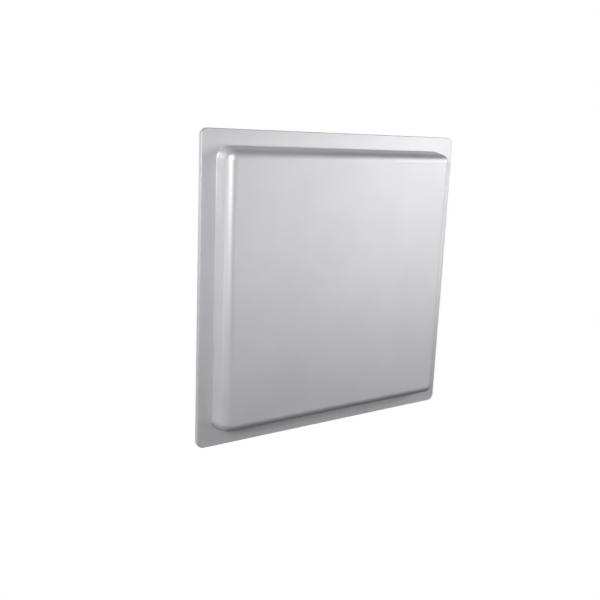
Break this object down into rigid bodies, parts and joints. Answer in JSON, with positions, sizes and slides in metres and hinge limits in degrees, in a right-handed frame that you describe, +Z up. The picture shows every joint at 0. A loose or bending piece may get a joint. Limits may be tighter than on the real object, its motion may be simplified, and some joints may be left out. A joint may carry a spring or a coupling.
{
  "type": "antenna panel",
  "caption": "Flat square radio read panel of a shop security gate: moulded cover with a raised pan, metal back plate with studs, and a capped radio socket.",
  "frame": {"origin": "centre of the four mounting studs, on the back plate's rear face", "axes": "+Z up, +X right as seen from the front, +Y from the panel into the wall; the front faces -Y"},
  "size_m": [0.305, 0.047, 0.305],
  "materials": {
    "cover_plastic": "satin silver-grey lacquer",
    "gasket_foam": "closed-cell foam",
    "brass": "knurled brass",
    "pad_foam": "soft white foam",
    "patch_aluminium": "mill finish sheet",
    "nylon": "natural nylon",
    "zinc_steel": "zinc-plated steel",
    "circuit_board": "green solder mask",
    "copper": "bare copper",
    "black_plastic": "fine matt",
    "plate_aluminium": "brushed, passivated",
    "nickel_brass": "nickel-plated brass",
    "ptfe": "white fluoropolymer",
    "gold_contact": "gold-plated contact",
    "seal_rubber": "black rubber",
    "label_film": "blank satin polyester",
    "cap_rubber": "soft black rubber"
  },
  "bodies": {
    "panel": {"radome": "cover_plastic", "rim_gasket": "gasket_foam", "threaded_inserts": "brass", "foam_pads": "pad_foam", "parasitic_patch": "patch_aluminium", "patch_screws": "nylon", "upper_spacers": "nylon", "driven_patch": "patch_aluminium", "lower_spacers": "nylon", "centre_post": "brass", "centre_screw": "zinc_steel", "feed_probes": "brass", "feed_board": "circuit_board", "feed_traces": "copper", "termination_resistor": "black_plastic", "board_screws": "zinc_steel", "coax_jumper": "copper", "back_plate": "plate_aluminium", "mounting_studs": "zinc_steel", "cover_screws": "zinc_steel", "spacer_screws": "zinc_steel", "connector_body": "nickel_brass", "connector_insulator": "ptfe", "connector_contact": "gold_contact", "connector_oring": "seal_rubber", "connector_washer": "nickel_brass", "connector_nut": "nickel_brass", "vent_plug": "black_plastic", "vent_membrane": "ptfe", "rating_label": "label_film"},
    "cap": {"connector_cap": "cap_rubber"}
  },
  "joints": [
    {"name": "cap_pull_off", "type": "slide", "parent": "panel", "child": "cap", "axis": [0, 1, 0], "range_m": [0, 0.03]}
  ]
}
